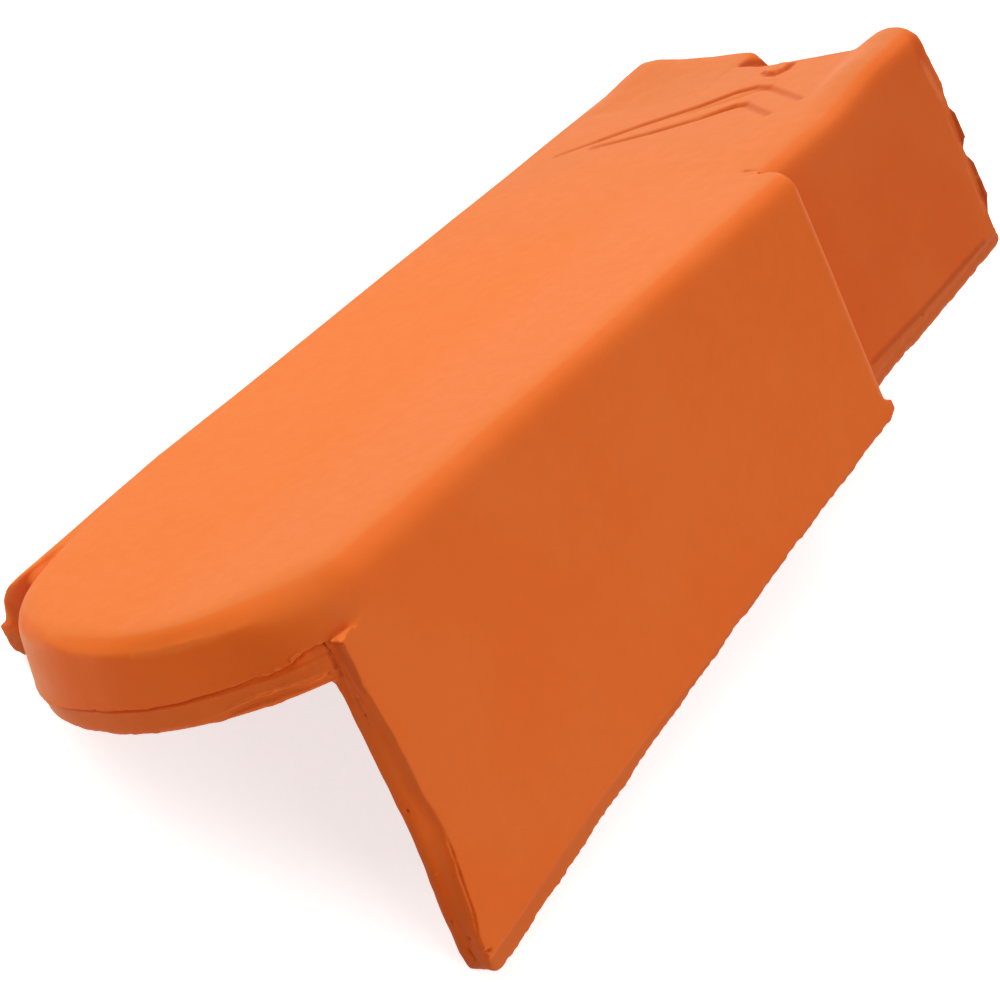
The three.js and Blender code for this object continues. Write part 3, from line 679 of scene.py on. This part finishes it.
# ---- clay ----------------------------------------------------------------------------------------
CLAY = (0.86, 0.156, 0.020)              # sides
FACE_HIGHLIGHT_TINT = (0.86, 0.199, 0.030)         # the face: paler where it faces up, a painted highlight for the light washing over it
CLAY_RIDGE = (0.86, 0.212, 0.046)        # the face beside the ridge
CLAY_HEAD = (0.72, 0.212, 0.072)         # the head of the face
ROUNDING_SHADE_TINT = (0.85, 0.162, 0.016)        # the roundings round the face: a deeper copy of the face colour, painted shade where the surface turns from the light
ROLL_HIGHLIGHT = (0.94, 0.178, 0.017)         # the roll along the tail, a painted highlight
FRONT_LIGHT_TINT = (0.92, 0.149, 0.014)        # the fronts of the skirt and the flange: a copy of the clay tinted to paint how the light falls on them
NOOK_SHADE = (0.78, 0.108, 0.004)         # painted shade on the flange's front and the skirt beside it
LEFT_END_SHEEN = (0.91, 0.320, 0.125)         # painted sheen on the left end of the skirt
CLAY_LAP = (0.77, 0.125, 0.016)          # the length that the next tile covers, darker than the flange
RAIL_LIGHT = (0.92, 0.235, 0.040)         # painted light on the inner side of the rail's front end
CLAY_PALE = (0.88, 0.210, 0.045)         # clouds, and edges lightened as wear and as a painted highlight
CLAY_BROWN = (0.56, 0.150, 0.045)        # grain
CLAY_SCORCHED = (0.66, 0.140, 0.032)     # lower bands, which the fire reached first
CLAY_DARK = (0.30, 0.040, 0.008)         # specks, and painted shade in the bottoms of hollows
SHADE_AND_TORN_CLAY = (0.40, 0.038, 0.003)
ARRIS_HIGHLIGHT = (0.92, 0.250, 0.090)
LIT = (0.98, 0.215, 0.035)
GROOVE_SHADE = (0.56, 0.072, 0.006)

# Painted shade in crevices, grooves and pits, under overhangs and at the lap's rear corner, and on the torn
# lumps of the lap's rear edge, which are partly dark broken clay: a path, its half width in mm and its
# strength.
SHADE_AND_TORN_CLAY_MARKS = [
    ([(-15.0, 376.5, 0.5), (-13.2, 375.0, -4.0), (-13.0, 374.0, -9.0)], 3.4, 0.2),
    ([(-23.0, 274.4, -0.5), (-15.5, 272.4, -1.6)], 2.2, 0.6),
    ([(-13.0, 379.8, -31.0), (-13.0, 379.2, -43.0)], 2.0, 0.8),
    ([(-13.0, 379.2, -49.5), (-13.0, 379.4, -56.0)], 1.9, 0.75),
    ([(-13.0, 379.2, -58.5), (-13.0, 378.8, -69.0)], 2.1, 0.8),
    ([(-13.0, 286.0, -82.6), (-13.0, 322.0, -81.4), (-13.0, 369.0, -78.4)], 1.7, 0.4),
    ([(-7.9, -1.5, -20.8), (-7.8, -1.5, -30.2), (-9.0, -1.5, -38.5)], 1.0, 0.45),
    ([(-3.2, -1.5, -21.0), (-1.6, -1.5, -38.0)], 2.8, 0.3),
    ([(-9.6, -3.6, -30.2), (-9.0, -3.0, -30.9)], 1.2, 0.8),
    ([(-5.9, -1.4, -20.7), (-0.8, -1.4, -21.2)], 0.9, 0.7),
    ([(-6.2, -1.5, -38.0), (-5.0, -1.5, -60.0), (-5.0, -1.5, -84.0)], 1.0, 0.4),
    ([(0.0, 2.5, -94.0), (0.0, 0.8, -107.0), (0.0, -0.6, -118.7), (-0.3, -2.8, -125.4)], 1.0, 0.7),
]
# Painted highlights along the step's arris, the rim at its top and the lap's rear edge.
ARRIS_HIGHLIGHT_MARKS = [
    ([(0.0, 269.6, -9.0), (0.0, 269.6, -86.0)], 3.0, 0.5),
    ([(-12.5, 270.6, 0.0), (-3.5, 268.6, -0.6)], 1.8, 0.5),
    ([(-13.0, 374.0, -9.0), (-13.0, 376.5, -24.0)], 2.2, 0.45),
    ([(-13.0, 376.5, -24.0), (-13.0, 376.0, -70.0)], 2.0, 0.15),
]
# Painted shade on the stud's shaded side, at the base of the tab's flank and in the rail's wedge.
SHADED_SIDE_MARKS = [
    ([(-78.2, 369.0, 0.4), (-75.0, 366.0, 0.2), (-69.5, 364.4, 0.2)], 2.2, 0.8),
    ([(-69.5, 364.4, 0.2), (-66.5, 367.5, 0.2), (-66.8, 372.0, 0.3)], 2.8, 1.0),
    ([(-98.5, 384.0, -1.2), (-97.9, 388.4, -2.2), (-96.0, 392.4, -4.8)], 2.8, 1.0),
    ([(-151.0, 30.0, -4.0), (-151.5, 22.0, -4.2), (-152.5, 16.0, -4.8)], 1.5, 0.5),
]
# Painted highlights on arrises, rolls, the shoulder's facet, the rail's burr and the rim.
LIT_MARKS = [
    (CREST, 2.6, 0.5),
    ([(-14.4, -9.9, -21.3), (-12.2, -7.9, -20.6)], 0.8, 0.9),
    ([(-4.4, -1.0, -20.1), (-0.5, -0.6, -20.3)], 1.3, 0.85),
    ([(-3.0, 0.4, -19.7), (-0.5, 3.4, -18.9)], 1.2, 0.85),
    ([(-162.0, 10.2, -12.5), (-153.0, 10.2, -12.1)], 1.1, 0.8),
    ([(-27.0, -17.9, -28.1), (-15.8, -10.0, -28.8), (-10.0, -4.0, -29.6)], 0.9, 0.6),
]
# The rail's sloped inner side, where light is painted.
RAIL_LIGHT_MARKS = [
    ([(-156.5, 30.0, -1.4), (-158.0, 18.0, -4.0), (-158.5, 12.0, -8.5)], 4.5, 0.75),
]
# The rail's front end.
SCORCHED_MARKS = [
    ([(-159.0, 11.0, -18.0), (-157.0, 11.0, -23.5)], 5.0, 0.9),
]


class Nodes:
    """Short names for making and joining a material's nodes."""

    def __init__(self, material):
        self.tree = material.node_tree

    def add(self, kind, **settings):
        node = self.tree.nodes.new(kind)
        for name, value in settings.items():
            setattr(node, name, value)
        return node

    def join(self, source, socket):
        if isinstance(source, (int, float)):
            socket.default_value = source
        elif isinstance(source, tuple):
            socket.default_value = source if len(source) == 3 and socket.type == "VECTOR" else (*source, 1.0)
        else:
            self.tree.links.new(source, socket)

    def math(self, operation, a, b=0.0):
        node = self.add("ShaderNodeMath", operation=operation)
        self.join(a, node.inputs[0])
        self.join(b, node.inputs[1])
        return node.outputs[0]

    def ramp(self, value, low, high, to_low=0.0, to_high=1.0):
        node = self.add("ShaderNodeMapRange", interpolation_type="SMOOTHSTEP")
        for socket, number in zip(node.inputs[:5], (value, low, high, to_low, to_high)):
            self.join(number, socket)
        return node.outputs[0]

    def noise(self, vector, scale, detail=2.0, roughness=0.5):
        node = self.add("ShaderNodeTexNoise")
        self.join(vector, node.inputs["Vector"])
        node.inputs["Scale"].default_value = scale
        node.inputs["Detail"].default_value = detail
        node.inputs["Roughness"].default_value = roughness
        return node.outputs[0]

    def facing(self, direction):
        """How far the surface looks in a direction of the tile's own axes."""
        node = self.add("ShaderNodeVectorMath", operation="DOT_PRODUCT")
        self.join(self.add("ShaderNodeNewGeometry").outputs["Normal"], node.inputs[0])
        node.inputs[1].default_value = facing_vector(direction)
        return node.outputs["Value"]

    def marks(self, name, wobble):
        """How strongly a list of marks shows here, with their edges moved in and out by that many mm."""
        field = self.add("ShaderNodeAttribute", attribute_name=name)
        parts = self.add("ShaderNodeSeparateXYZ")
        self.join(field.outputs["Vector"], parts.inputs[0])
        reach, strength, per_width = parts.outputs
        if wobble:
            reach = self.math("ADD", reach, self.math("MULTIPLY", wobble, per_width))
        return self.ramp(reach, 1.0, MARK_CORE, 0.0, strength)

    def mix(self, share, a, b, blend="MIX"):
        node = self.add("ShaderNodeMix", data_type="RGBA", blend_type=blend)
        self.join(share, node.inputs[0])
        self.join(a, node.inputs[6])
        self.join(b, node.inputs[7])
        return node.outputs[2]


def chevron_marks():
    """The chevrons as painted shade in their grooves, as strong as the groove is deep."""
    marks = []
    for path in CHEVRONS:
        steps = np.linalg.norm(np.diff(np.array(path), axis=0), axis=1)
        middle = (np.cumsum(steps) - steps / 2) / steps.sum()
        for start, end, depth in zip(path[:-1], path[1:], np.interp(middle, CHEVRON_SHARE, CHEVRON_DEPTH)):
            marks.append(([start, end], 2.2 + 1.6 * float(depth), 0.35 + 0.55 * float(depth)))
    return marks


MARKS = {
    "arris_highlight": ARRIS_HIGHLIGHT_MARKS,
    "rail": RAIL_LIGHT_MARKS,
    "scorched": SCORCHED_MARKS,
    # The chevrons and these marks are painted shade.
    "pressed": chevron_marks() + SHADED_SIDE_MARKS,
    "shade_and_torn_clay": SHADE_AND_TORN_CLAY_MARKS,
    "lit": LIT_MARKS,
}
MARK_CORE = 0.15                         # share of a mark's half width where it is at full strength
MARK_EDGE = 1.3                          # share of it within which wobble can move the mark's edge
MOST_SAG = 0.08                          # share of it that a triangle may miss at an edge's middle
SPLIT_OVER = 1.2                         # edges up to this long are never split, in mm
SPLIT_ROUNDS = 5


def mark_field(points, marks):
    """For each point and the mark that shows most there: its distance as a share of the mark's half
    width, the mark's strength, and 1 / its half width."""
    field = np.zeros((len(points), 3))
    most = np.full(len(points), -np.inf)
    for path, width, strength in marks:
        reach = along(points, np.array(path))[0] / width
        shows = strength * smoothstep(1.0, MARK_CORE, reach) - 0.001 * reach
        here = shows > most
        most[here] = shows[here]
        field[here, 0] = reach[here]
        field[here, 1:] = strength, 1.0 / width
    return field


def split_at_marks(piece):
    """Halve the long edges that a mark crosses between their ends, so that none is lost. A triangle
    with two such edges has its third halved too, so that every new face is a triangle."""
    for _ in range(SPLIT_ROUNDS):
        points, ends = get_points(piece.data), get_edges(piece.data)
        lengths = np.linalg.norm(points[ends[:, 1]] - points[ends[:, 0]], axis=1)[:, None]
        crossed = np.zeros(len(ends), dtype=bool)
        for marks in MARKS.values():
            field = mark_field(points, marks)[ends]
            reach, per_width = field[:, :, 0], field[:, :, 2]
            may_cross = (reach - lengths * per_width).min(axis=1) < MARK_EDGE
            near = np.flatnonzero(may_cross & (lengths[:, 0] > SPLIT_OVER))
            middle = mark_field(points[ends[near]].mean(axis=1), marks)[:, 0]
            crossed[near] |= reach[near].mean(axis=1) - middle > MOST_SAG
        sides = np.empty(len(piece.data.loops), dtype=np.int32)
        piece.data.loops.foreach_get("edge_index", sides)
        sides = sides.reshape(-1, 3)
        while (two := crossed[sides].sum(axis=1) == 2).any():
            crossed[sides[two]] = True
        mesh = bmesh.new()
        mesh.from_mesh(piece.data)
        mesh.edges.ensure_lookup_table()
        chosen = [mesh.edges[edge] for edge in np.flatnonzero(crossed)]
        bmesh.ops.subdivide_edges(mesh, edges=chosen, cuts=1, use_single_edge=True, use_grid_fill=True)
        mesh.to_mesh(piece.data)
        mesh.free()


def write_marks(mesh):
    """Keep the marks as attributes of the mesh, which the clay reads."""
    points = get_points(mesh)
    for name, marks in MARKS.items():
        attribute = mesh.attributes.new(name, "FLOAT_VECTOR", "POINT")
        attribute.data.foreach_set("vector", mark_field(points, marks).ravel())


def facing_vector(direction):
    """A direction of the tile's own axes in the room."""
    return tuple(TILE.to_3x3() @ Vector(direction))


def clay_material():
    material = bpy.data.materials.new("red_clay")
    material.use_nodes = True
    n = Nodes(material)
    shader = material.node_tree.nodes["Principled BSDF"]
    to_tile = TILE.inverted()
    place = n.add("ShaderNodeMapping", vector_type="POINT")
    n.join(n.add("ShaderNodeTexCoord").outputs["Object"], place.inputs["Vector"])
    place.inputs["Location"].default_value = to_tile.to_translation()
    place.inputs["Rotation"].default_value = to_tile.to_euler("XYZ")
    per_mm = n.add("ShaderNodeVectorMath", operation="SCALE")
    n.join(place.outputs[0], per_mm.inputs[0])
    per_mm.inputs["Scale"].default_value = 1.0 / MM
    spot = per_mm.outputs[0]
    parts = n.add("ShaderNodeSeparateXYZ")
    n.join(spot, parts.inputs[0])
    x, y, z = parts.outputs

    wander = n.add("ShaderNodeTexNoise")
    n.join(spot, wander.inputs["Vector"])
    wander.inputs["Scale"].default_value = 0.35
    shift = n.add("ShaderNodeVectorMath", operation="MULTIPLY_ADD")
    n.join(wander.outputs["Color"], shift.inputs[0])
    shift.inputs[1].default_value = (1.2, 1.2, 1.2)
    shift.inputs[2].default_value = (-0.6, -0.6, -0.6)
    moved = n.add("ShaderNodeVectorMath", operation="ADD")
    n.join(spot, moved.inputs[0])
    n.join(shift.outputs[0], moved.inputs[1])
    ragged = moved.outputs[0]

    clouds = n.ramp(n.noise(spot, 0.022, 2.0, 0.5), 0.35, 0.68)
    grain = n.ramp(n.noise(spot, 0.16, 4.0, 0.6), 0.3, 0.7)
    specks = n.ramp(n.noise(spot, 0.9, 3.0, 0.6), 0.60, 0.74)
    facing_up = n.facing((0.0, 0.0, 1.0))
    up = n.ramp(facing_up, 0.80, 0.97)
    rounded = n.math("MULTIPLY", n.ramp(facing_up, 0.35, 0.70), n.ramp(facing_up, 0.96, 0.83))
    front = n.ramp(n.facing((0.0, -1.0, 0.0)), 0.45, 0.85)
    lap = n.math("MULTIPLY", n.ramp(y, 268.0, 274.0), n.ramp(x, -10.0, -12.6))
    color = n.mix(n.math("MULTIPLY", n.ramp(x, -30.0, -14.0), lap), CLAY, CLAY_LAP)
    # Painted tint on the fronts for how the light falls on them.
    color = n.mix(front, color, FRONT_LIGHT_TINT)
    # Painted shade on the fronts in the corner beside the flange.
    nook_shade = n.math("MULTIPLY", n.math("MULTIPLY", n.ramp(x, -45.0, -14.0), front), n.ramp(y, 8.0, 0.0))
    color = n.mix(nook_shade, color, NOOK_SHADE)
    skirt_band = n.math("MULTIPLY", n.ramp(z, -24.2, -25.6), n.ramp(x, -11.0, -13.0))
    color = n.mix(n.math("MULTIPLY", n.math("MULTIPLY", skirt_band, front), 0.3), color, CLAY_SCORCHED)
    # Painted sheen on the left end of the skirt.
    left_sheen = n.math("MULTIPLY", n.ramp(x, -90.0, -142.0), n.ramp(x, -156.5, -153.5))
    color = n.mix(n.math("MULTIPLY", left_sheen, n.ramp(y, 30.0, 6.0)), color, LEFT_END_SHEEN)
    # Painted highlight: the up-facing face is paler, as if washed by the light; towards the ridge and the head
    # this tint varies.
    color = n.mix(up, color, FACE_HIGHLIGHT_TINT)
    near_ridge = n.math("MULTIPLY", n.ramp(x, -80.0, -45.0), n.ramp(y, 300.0, 260.0))
    color = n.mix(n.math("MULTIPLY", up, near_ridge), color, CLAY_RIDGE)
    # Painted shade: a deeper tint on the roundings, where the surface turns from the light.
    color = n.mix(n.math("MULTIPLY", rounded, 0.8), color, ROUNDING_SHADE_TINT)
    # Painted highlight on the roll along the tail.
    color = n.mix(n.math("MULTIPLY", rounded, n.ramp(y, 10.0, -12.0)), color, ROLL_HIGHLIGHT)
    color = n.mix(n.math("MULTIPLY", n.math("MULTIPLY", up, n.ramp(y, 180.0, 380.0)), 0.68), color, CLAY_HEAD)
    color = n.mix(n.math("MULTIPLY", clouds, 0.22), color, CLAY_PALE)
    color = n.mix(n.math("MULTIPLY", grain, 0.06), color, CLAY_BROWN)

    # The lower bands of the flange and of the lap, and the dragged clay of the flange's cut front.
    share = n.math("DIVIDE", y, STEP_Y)
    bow = n.math("MULTIPLY", share, n.math("SUBTRACT", 55.8, n.math("MULTIPLY", share, 12.8)))
    above_foot = n.math("SUBTRACT", z, n.math("SUBTRACT", bow, 140.5))
    width = n.ramp(y, 40.0, 150.0, 6.2, 1.6)
    flange_band = n.ramp(n.math("SUBTRACT", above_foot, width), 0.4, -0.6)
    flange_band = n.math("MULTIPLY", flange_band, n.ramp(y, 271.0, 269.5))
    flange_band = n.math("MULTIPLY", flange_band, n.ramp(z, -90.0, -92.0))
    lap_line = n.math("SUBTRACT", z, n.math("SUBTRACT", n.math("MULTIPLY", y, 0.052), 97.6))
    lap_band = n.math("MULTIPLY", n.ramp(lap_line, 0.5, -1.0), n.ramp(y, 270.5, 272.0))
    lap_band = n.math("MULTIPLY", lap_band, n.ramp(z, -70.0, -74.0))
    drag = n.add("ShaderNodeVectorMath", operation="MULTIPLY")
    n.join(ragged, drag.inputs[0])
    drag.inputs[1].default_value = (1.0, 0.3, 0.09)
    dragged = n.ramp(n.noise(drag.outputs[0], 0.32, 3.0, 0.6), 0.40, 0.62)
    cut = n.math("MULTIPLY", n.math("MULTIPLY", front, n.ramp(z, -20.0, -24.0)), n.ramp(x, -12.6, -10.8))
    band = n.math("MAXIMUM", n.math("MULTIPLY", flange_band, 0.55), n.math("MULTIPLY", lap_band, 0.55))
    band = n.math("MAXIMUM", band, n.math("MULTIPLY", n.math("MULTIPLY", cut, dragged), 0.4))
    color = n.mix(band, color, CLAY_SCORCHED)
    color = n.mix(n.math("MULTIPLY", specks, 0.06), color, CLAY_DARK)
    wobble = n.math("MULTIPLY", n.math("SUBTRACT", wander.outputs[0], 0.5), 1.2)
    # Painted highlights along the arrises.
    color = n.mix(n.marks("arris_highlight", wobble), color, ARRIS_HIGHLIGHT)
    # Painted light on the rail's sloped inner side.
    color = n.mix(n.marks("rail", wobble), color, RAIL_LIGHT)
    color = n.mix(n.marks("scorched", wobble), color, CLAY_SCORCHED)
    # Painted shade in the chevrons' grooves, round the stud, at the tab's flank and in the rail's wedge.
    color = n.mix(n.marks("pressed", None), color, GROOVE_SHADE)
    # Painted shade in crevices, grooves and pits and under overhangs, and the torn lumps, which are partly
    # dark broken clay.
    color = n.mix(n.marks("shade_and_torn_clay", wobble), color, SHADE_AND_TORN_CLAY)
    # Painted highlights.
    color = n.mix(n.marks("lit", wobble), color, LIT)

    point = n.add("ShaderNodeNewGeometry").outputs["Pointiness"]
    # Painted shade in the hollows.
    hollow = n.ramp(point, 0.47, 0.40)
    edge = n.ramp(point, 0.53, 0.60)
    color = n.mix(n.math("MULTIPLY", hollow, 0.55), color, CLAY_DARK)
    # Edges lightened as wear and as a painted highlight.
    color = n.mix(n.math("MULTIPLY", edge, 0.2), color, CLAY_PALE)
    n.join(color, shader.inputs["Base Color"])

    rough = n.ramp(grain, 0.0, 1.0, 0.58, 0.64)
    n.join(rough, shader.inputs["Roughness"])
    shader.inputs["Specular IOR Level"].default_value = 0.10
    shader.inputs["Sheen Weight"].default_value = 0.02
    shader.inputs["Sheen Roughness"].default_value = 0.45

    bump = n.add("ShaderNodeBump")
    bump.inputs["Strength"].default_value = 0.18
    bump.inputs["Distance"].default_value = 0.00012
    relief = n.math("ADD", n.noise(spot, 0.9, 3.0, 0.6),
                    n.math("MULTIPLY", n.math("MULTIPLY", cut, dragged), 0.8))
    n.join(relief, bump.inputs["Height"])
    n.join(bump.outputs[0], shader.inputs["Normal"])
    return material


add_camera()
add_world()
add_floor()
for lamp_name, settings in SOFTBOXES.items():
    add_softbox(lamp_name, *settings)
make_tile()

bpy.context.scene.view_settings.view_transform = "Standard"
